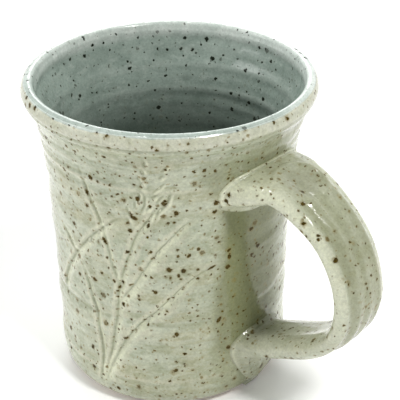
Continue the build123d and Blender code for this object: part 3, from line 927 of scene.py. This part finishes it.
class Look:
    """A small helper for building one material's nodes."""

    def __init__(self, name):
        self.mat = bpy.data.materials.new(name)
        self.mat.use_nodes = True
        self.tree = self.mat.node_tree
        self.tree.nodes.clear()
        self.out = self.new("ShaderNodeOutputMaterial")
        self.bsdf = self.new("ShaderNodeBsdfPrincipled")
        self.tree.links.new(self.bsdf.outputs[0], self.out.inputs["Surface"])
        co = self.new("ShaderNodeTexCoord").outputs["Object"]
        self.mm = self.vector("SCALE", co, scale=1000.0)

    def new(self, kind, **props):
        n = self.tree.nodes.new(kind)
        for k, v in props.items():
            setattr(n, k, v)
        return n

    def feed(self, socket, value):
        if isinstance(value, bpy.types.NodeSocket):
            self.tree.links.new(value, socket)
        else:
            socket.default_value = value

    def vector(self, op, a, b=None, scale=None):
        n = self.new("ShaderNodeVectorMath", operation=op)
        self.feed(n.inputs[0], a)
        if b is not None:
            self.feed(n.inputs[1], b)
        if scale is not None:
            self.feed(n.inputs["Scale"], scale)
        return n.outputs["Vector"]

    def math(self, op, a, b=0.0, clamp=False):
        n = self.new("ShaderNodeMath", operation=op, use_clamp=clamp)
        self.feed(n.inputs[0], a)
        self.feed(n.inputs[1], b)
        return n.outputs[0]

    def ramp(self, x, lo, hi, to_lo=0.0, to_hi=1.0):
        n = self.new("ShaderNodeMapRange", interpolation_type="SMOOTHSTEP")
        for s, v in zip(("Value", "From Min", "From Max", "To Min", "To Max"), (x, lo, hi, to_lo, to_hi)):
            self.feed(n.inputs[s], v)
        return n.outputs["Result"]

    def mix(self, factor, a, b, blend="MIX"):
        n = self.new("ShaderNodeMix", data_type="RGBA", blend_type=blend)
        self.feed(n.inputs[0], factor)
        self.feed(n.inputs[6], a)
        self.feed(n.inputs[7], b)
        return n.outputs[2]

    def attribute(self, name):
        return self.new("ShaderNodeAttribute", attribute_name=name, attribute_type="GEOMETRY").outputs["Fac"]

    def noise(self, vec, size, detail=3.0, rough=0.55, distort=0.0, colour=False):
        n = self.new("ShaderNodeTexNoise")
        self.feed(n.inputs["Vector"], vec)
        n.inputs["Scale"].default_value = 1.0 / size
        n.inputs["Detail"].default_value = detail
        n.inputs["Roughness"].default_value = rough
        n.inputs["Distortion"].default_value = distort
        return n.outputs["Color" if colour else "Fac"]

    def shifted(self, vec, seed):
        r = np.random.RandomState(seed).uniform(-400, 400, 3)
        return self.vector("ADD", vec, tuple(float(c) for c in r))

    def specks(self, vec, cell, small, large, share, seed, soft=0.5):
        """Round-ish specks of uneven size. Gives core, halo and a random tone for each."""
        v = self.shifted(vec, seed)
        n = self.new("ShaderNodeTexVoronoi", voronoi_dimensions="3D", feature="F1")
        self.feed(n.inputs["Vector"], v)
        n.inputs["Scale"].default_value = 1.0 / cell
        n.inputs["Randomness"].default_value = 1.0
        dist = self.math("MULTIPLY", n.outputs["Distance"], cell)
        sep = self.new("ShaderNodeSeparateColor")
        self.feed(sep.inputs[0], n.outputs["Color"])
        here = self.math("LESS_THAN", sep.outputs[0], share)
        size = self.math("POWER", self.math("DIVIDE", sep.outputs[0], share), 1.9)
        radius = self.math("ADD", self.math("MULTIPLY", size, large - small), small)
        core = self.ramp(dist, radius, self.math("MULTIPLY", radius, soft))
        halo = self.ramp(dist, self.math("MULTIPLY", radius, 1.75), self.math("MULTIPLY", radius, 0.55))
        return self.math("MULTIPLY", core, here), self.math("MULTIPLY", halo, here), sep.outputs[1]

    def bump(self, height, strength, distance, normal=None):
        n = self.new("ShaderNodeBump")
        n.inputs["Strength"].default_value = strength
        n.inputs["Distance"].default_value = distance
        self.feed(n.inputs["Height"], height)
        if normal is not None:
            self.feed(n.inputs["Normal"], normal)
        return n.outputs["Normal"]


def glaze(name):
    """Speckled glaze. The liner attribute turns the outer celadon into the cooler liner glaze."""
    k = Look(name)
    p = k.mm
    pool_and_painted_shade, edge, lip, liner_at, iron, crest, thin_and_painted_light, painted_shade = (
        k.attribute(a) for a in ("pool_and_painted_shade", "edge", "lip", "liner", "iron", "crest", "thin_and_painted_light", "painted_shade"))

    # Slow drifts of colour at random, then the relief's painted highlight and shade, painted shade, painted light,
    # pooled glaze and the cream of the lip.
    wide = k.noise(p, 17, 2, 0.5)
    streaky = k.noise(k.vector("MULTIPLY", p, (0.45, 0.45, 2.2)), 9, 4, 0.6, 0.4)
    cloud = k.noise(p, 4.5, 4, 0.6, 0.5)
    fine = k.noise(p, 0.85, 4, 0.7)
    curd = k.noise(k.vector("MULTIPLY", p, (0.8, 0.8, 1.5)), 3.2, 5, 0.68, 0.3)

    body = k.mix(k.ramp(wide, 0.36, 0.64), lin(*CELADON_COOL), lin(*CELADON_WARM))
    body = k.mix(k.ramp(streaky, 0.42, 0.62, 0.0, 0.85), body, lin(*CELADON_PALE))
    body = k.mix(k.ramp(cloud, 0.50, 0.72, 0.0, 0.50), body, lin(*CELADON_DEEP))
    body = k.mix(k.ramp(curd, 0.46, 0.66, 0.0, 0.74), body, lin(*CELADON_MILK))
    body = k.mix(k.ramp(curd, 0.48, 0.32, 0.0, 0.46), body, lin(*CELADON_DEEP))
    # Raised relief painted paler as highlight, hollows darker as shade.
    body = k.mix(k.ramp(edge, 0.10, 1.1, 0.0, 0.62), body, lin(*CELADON_CREAM))
    body = k.mix(k.ramp(edge, -0.12, -1.3, 0.0, 0.62), body, lin(*CELADON_DEEP))
    # Painted shade.
    body = k.mix(k.math("MULTIPLY", painted_shade, 0.95, True), body, lin(*CELADON_PAINTED_SHADE))
    # Thinner glaze and painted light.
    body = k.mix(k.math("MULTIPLY", thin_and_painted_light, 0.80, True), body, lin(*CELADON_THIN_AND_PAINTED_LIGHT))
    # Pooled glaze and painted shade in creases.
    body = k.mix(k.math("MULTIPLY", pool_and_painted_shade, 0.50, True), body, lin(*CELADON_POOL_AND_PAINTED_SHADE))
    # Lip cream; on the handle, painted light on its inner face.
    body = k.mix(k.math("MULTIPLY", lip, 0.70, True), body, k.mix(k.ramp(cloud, 0.35, 0.65), lin(*LIP_A), lin(*LIP_B)))

    inner = k.mix(k.ramp(wide, 0.34, 0.66), lin(*LINER_A), lin(*LINER_B))
    inner = k.mix(k.ramp(cloud, 0.44, 0.74, 0.0, 0.60), inner, lin(*LINER_DEEP))
    inner = k.mix(k.ramp(curd, 0.50, 0.70, 0.0, 0.50), inner, lin(*LINER_PALE))
    inner = k.mix(k.ramp(streaky, 0.50, 0.74, 0.0, 0.40), inner, lin(*LINER_PALE))
    # Raised liner rings painted paler as highlight.
    inner = k.mix(k.ramp(edge, 0.10, 1.2, 0.0, 0.35), inner, lin(*LINER_PALE))
    # Painted shade, darker deeper inside.
    inner = k.mix(k.math("MULTIPLY", painted_shade, 0.9, True), inner, lin(*LINER_PAINTED_SHADE))
    # Crest paler: thinner glaze at the rim and a painted reflection.
    inner = k.mix(k.math("MULTIPLY", crest, 0.85, True), inner, k.mix(k.ramp(cloud, 0.35, 0.65), lin(*CREST_A), lin(*CREST_B)))
    melt = k.ramp(k.math("ADD", liner_at, k.math("MULTIPLY", k.math("SUBTRACT", cloud, 0.5), 0.7)), 0.30, 0.72)
    colour = k.mix(melt, body, inner)
    shade = k.ramp(fine, 0.28, 0.74, 0.86, 1.10)
    tone = k.new("ShaderNodeCombineColor")
    for s in range(3):
        k.feed(tone.inputs[s], shade)
    colour = k.mix(1.0, colour, tone.outputs[0], "MULTIPLY")

    # Iron specks: distorted so that none is a true circle.
    wob = k.vector("SUBTRACT", k.noise(p, 1.05, 2, 0.6, colour=True), (0.5, 0.5, 0.5))
    q = k.vector("ADD", p, k.vector("SCALE", wob, scale=1.35))
    big = k.specks(q, 3.3, 0.34, 0.95, 0.78, 1, 0.76)
    mid = k.specks(q, 1.75, 0.20, 0.54, 0.84, 2, 0.70)
    tiny = k.specks(q, 1.0, 0.08, 0.26, 0.70, 3, 0.45)

    core = k.math("MAXIMUM", k.math("MULTIPLY", big[0], k.ramp(big[2], 0.10, 0.35, 0.55, 1.0)),
                  k.math("MULTIPLY", mid[0], k.ramp(mid[2], 0.20, 0.65, 0.22, 0.97)))
    core = k.math("MAXIMUM", core, k.math("MULTIPLY", tiny[0], k.ramp(tiny[2], 0.3, 0.9, 0.05, 0.55)))
    blooms = k.ramp(k.math("ADD", iron, k.math("MULTIPLY", k.math("SUBTRACT", k.noise(p, 0.7, 2), 0.5), 0.9)), 0.42, 0.72)
    core = k.math("MAXIMUM", core, blooms)
    halo = k.math("MAXIMUM", k.math("MULTIPLY", big[1], 0.85), k.math("MULTIPLY", mid[1], 0.72))
    halo = k.math("MAXIMUM", halo, k.ramp(iron, 0.05, 0.55, 0.0, 0.75))
    halo = k.math("MULTIPLY", halo, k.ramp(k.noise(p, 1.6, 2), 0.30, 0.62, 0.55, 1.0))
    halo = k.math("MULTIPLY", halo, k.math("SUBTRACT", 1.0, k.math("MULTIPLY", melt, 0.88)))
    rust = k.mix(k.ramp(cloud, 0.4, 0.6), lin(*RUST_A), lin(*RUST_B))
    dark = k.mix(melt, k.mix(k.ramp(fine, 0.35, 0.6), lin(*IRON_A), lin(*IRON_B)), lin(*IRON_INSIDE))
    colour = k.mix(halo, colour, rust)
    colour = k.mix(core, colour, dark)
    k.feed(k.bsdf.inputs["Base Color"], colour)

    gloss = k.ramp(k.noise(p, 6, 3), 0.3, 0.7, 0.07, 0.135)
    gloss = k.math("ADD", gloss, k.math("MULTIPLY", core, 0.16))
    k.feed(k.bsdf.inputs["Roughness"], gloss)
    k.bsdf.inputs["IOR"].default_value = 1.50
    # The iron breaks through dull, so it mirrors less than the glaze round it.
    k.feed(k.bsdf.inputs["Specular IOR Level"], k.math("SUBTRACT", 0.5, k.math("MULTIPLY", core, 0.40)))
    dips = k.math("SUBTRACT", k.noise(p, 2.6, 3, 0.5), k.math("MULTIPLY", core, 0.16))
    n = k.bump(dips, 0.55, 0.00022)
    n = k.bump(k.noise(p, 0.75, 2, 0.5), 0.35, 0.00005, n)
    k.feed(k.bsdf.inputs["Normal"], n)
    return k.mat


def clay(name):
    """Bare toasted stoneware with sand and grog."""
    k = Look(name)
    p = k.mm
    base = k.mix(k.ramp(k.noise(p, 14, 3), 0.35, 0.65), lin(181, 160, 132), lin(163, 137, 106))
    base = k.mix(k.ramp(k.noise(p, 2.2, 5, 0.65), 0.42, 0.72, 0.0, 0.7), base, lin(196, 178, 150))
    base = k.mix(k.ramp(k.noise(p, 6, 4, 0.6, 0.8), 0.58, 0.74, 0.0, 0.5), base, lin(140, 106, 74))
    wob = k.vector("SUBTRACT", k.noise(p, 0.9, 2, 0.5, colour=True), (0.5, 0.5, 0.5))
    q = k.vector("ADD", p, k.vector("SCALE", wob, scale=0.7))
    iron = k.specks(q, 2.4, 0.10, 0.45, 0.5, 11, 0.5)
    sand = k.specks(q, 1.1, 0.05, 0.24, 0.5, 12, 0.4)
    base = k.mix(k.math("MULTIPLY", sand[0], 0.6), base, lin(214, 201, 178))
    base = k.mix(k.math("MULTIPLY", iron[1], 0.5), base, lin(139, 98, 60))
    base = k.mix(k.math("MULTIPLY", iron[0], 0.85), base, lin(62, 42, 28))
    k.feed(k.bsdf.inputs["Base Color"], base)
    k.feed(k.bsdf.inputs["Roughness"], k.ramp(k.noise(p, 1.5, 4), 0.3, 0.7, 0.72, 0.9))
    grain = k.math("ADD", k.noise(p, 0.5, 4, 0.7), k.math("MULTIPLY", sand[0], 0.5))
    k.feed(k.bsdf.inputs["Normal"], k.bump(grain, 0.7, 0.00018))
    return k.mat


CELADON_COOL = (181, 188, 162)
CELADON_WARM = (189, 189, 158)
CELADON_PALE = (201, 207, 186)
CELADON_DEEP = (155, 160, 127)
CELADON_CREAM = (212, 211, 187)
CELADON_MILK = (209, 213, 190)
# Pale cream used for thinner glaze and painted light.
CELADON_THIN_AND_PAINTED_LIGHT = (234, 237, 209)
# Dark olive used as painted shade.
CELADON_PAINTED_SHADE = (138, 142, 104)
# Very dark green used as painted shade inside the mug.
LINER_PAINTED_SHADE = (42, 56, 44)
# Dark olive for pooled glaze and painted shade.
CELADON_POOL_AND_PAINTED_SHADE = (122, 124, 92)
LIP_A = (220, 220, 203)
LIP_B = (206, 207, 184)
LINER_A = (156, 171, 161)
LINER_B = (168, 183, 173)
LINER_DEEP = (132, 148, 138)
LINER_PALE = (194, 205, 196)
# Pale crest colours, partly a painted reflection.
CREST_A = (238, 245, 238)
CREST_B = (220, 230, 222)
RUST_A = (147, 127, 60)
RUST_B = (117, 99, 41)
IRON_A = (54, 43, 12)
IRON_B = (84, 69, 26)
IRON_INSIDE = (36, 42, 33)

glaze_look = glaze("speckled_celadon_glaze")
liner_look = glaze("speckled_liner_glaze")
clay_look = clay("toasted_stoneware")
for ob, look in ((outer, glaze_look), (handle_skin, glaze_look), (liner, liner_look), (body_ob, clay_look), (handle_clay, clay_look)):
    ob.data.materials.append(look)
for ob, node, slot in ((outer, "outer_glaze", "celadon_glaze"), (handle_skin, "handle_glaze", "celadon_glaze"),
                       (liner, "liner_glaze", "liner_glaze"), (body_ob, "stoneware_body", "stoneware_clay"),
                       (handle_clay, "handle", "stoneware_clay")):
    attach(ob, "root")
    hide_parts(node)
for node in ("upper_handle_join", "lower_handle_join"):
    me = frame["nodes"][node].data
    me.materials.clear()
    me.materials.append(clay_look)

# ------------------------------------------------- camera, floor, lights ----
CAM_AT = Vector((0.234835, -0.249305, 0.248014))
RIGHT = Vector((0.75140215, 0.65974225, -0.01161791))
UP = Vector((-0.31420461, 0.37322975, 0.8729118))
BACK = Vector((0.58023295, -0.6522574, 0.48773969))
cam_data = bpy.data.cameras.new("camera")
cam_data.sensor_width = 36.0
cam_data.lens = 107.67
cam_data.clip_start = 0.01
cam = bpy.data.objects.new("camera", cam_data)
bpy.context.scene.collection.objects.link(cam)
turn = Matrix((RIGHT, UP, BACK)).transposed().to_4x4()
cam.matrix_world = Matrix.Translation(CAM_AT) @ turn
bpy.context.scene.camera = cam

n = 96
a = np.linspace(0, 2 * math.pi, n, endpoint=False)
radii = np.array([0.0, 60, 140, 300, 800, 2400, 6000])
fl = [[0, 0, 0]] + [[r * math.cos(t), r * math.sin(t), 0] for r in radii[1:] for t in a]
tri = np.array([[0, 1 + i, 1 + (i + 1) % n] for i in range(n)])
quad = np.array([[1 + j * n + i, 1 + (j + 1) * n + i, 1 + (j + 1) * n + (i + 1) % n, 1 + j * n + (i + 1) % n]
                 for j in range(len(radii) - 2) for i in range(n)])
floor = link("floor", fl, quad, tri)
pale = Look("pale_floor")
pale.feed(pale.bsdf.inputs["Base Color"], pale.mix(pale.ramp(pale.noise(pale.mm, 60, 2), 0.3, 0.7), lin(240, 240, 239), lin(244, 244, 243)))
pale.bsdf.inputs["Roughness"].default_value = 0.6
pale.bsdf.inputs["Emission Color"].default_value = (1, 1, 1, 1)
pale.bsdf.inputs["Emission Strength"].default_value = 0.16
floor.data.materials.append(pale.mat)


def softbox(name, place, aim, width, height, power, colour=(1, 1, 1)):
    d = bpy.data.lights.new(name, "AREA")
    d.shape = "RECTANGLE"
    d.size, d.size_y = width, height
    d.energy = power
    d.color = colour
    o = bpy.data.objects.new(name, d)
    bpy.context.scene.collection.objects.link(o)
    o.location = place
    o.rotation_euler = (Vector(aim) - Vector(place)).to_track_quat("-Z", "Y").to_euler()
    return o


def from_camera(right, up, back):
    """A place given in the camera's own directions about the middle of the mug, in metres."""
    return Vector((0, 0, 0.05)) + RIGHT * right + UP * up + BACK * back


softbox("key", from_camera(0.43, 0.62, 0.94), (0, 0, 0.05), 0.22, 0.22, 8.6, (1.0, 0.998, 0.985))
softbox("left", from_camera(-1.0, 0.45, 0.45), (0, 0, 0.05), 0.6, 0.7, 3.1)
softbox("overhead", from_camera(-0.1, 1.1, -0.5), (0, 0, 0.09), 0.7, 0.5, 4.8)
softbox("window", from_camera(-0.25, 0.95, 0.75), (0, 0, 0.08), 0.09, 0.13, 0.8)

world = bpy.data.worlds.new("studio")
bpy.context.scene.world = world
world.use_nodes = True
wt = world.node_tree
wt.nodes.clear()
wo = wt.nodes.new("ShaderNodeOutputWorld")
mixs = wt.nodes.new("ShaderNodeMixShader")
path = wt.nodes.new("ShaderNodeLightPath")
lit = wt.nodes.new("ShaderNodeBackground")
seen = wt.nodes.new("ShaderNodeBackground")
seen.inputs["Color"].default_value = (1, 1, 1, 1)
seen.inputs["Strength"].default_value = 1.05
co = wt.nodes.new("ShaderNodeTexCoord")
dot = wt.nodes.new("ShaderNodeVectorMath")
dot.operation = "DOT_PRODUCT"
# Bright behind and to the left of the mug, darker towards the room at the right and behind the camera.
axis = (-0.30 * RIGHT - 0.90 * BACK + 0.25 * UP).normalized()
dot.inputs[1].default_value = tuple(axis)
rng_node = wt.nodes.new("ShaderNodeMapRange")
rng_node.interpolation_type = "SMOOTHSTEP"
for s, v in (("From Min", -0.55), ("From Max", 0.35), ("To Min", 0.02), ("To Max", 1.0)):
    rng_node.inputs[s].default_value = v
wt.links.new(co.outputs["Generated"], dot.inputs[0])
wt.links.new(dot.outputs["Value"], rng_node.inputs["Value"])
wt.links.new(rng_node.outputs["Result"], lit.inputs["Strength"])
lit.inputs["Color"].default_value = (0.985, 1.0, 0.995, 1)
wt.links.new(path.outputs["Is Camera Ray"], mixs.inputs[0])
wt.links.new(lit.outputs[0], mixs.inputs[1])
wt.links.new(seen.outputs[0], mixs.inputs[2])
wt.links.new(mixs.outputs[0], wo.inputs["Surface"])

view = bpy.context.scene.view_settings
view.view_transform = "Standard"
view.look = "None"
view.exposure = 0.0
view.gamma = 1.0
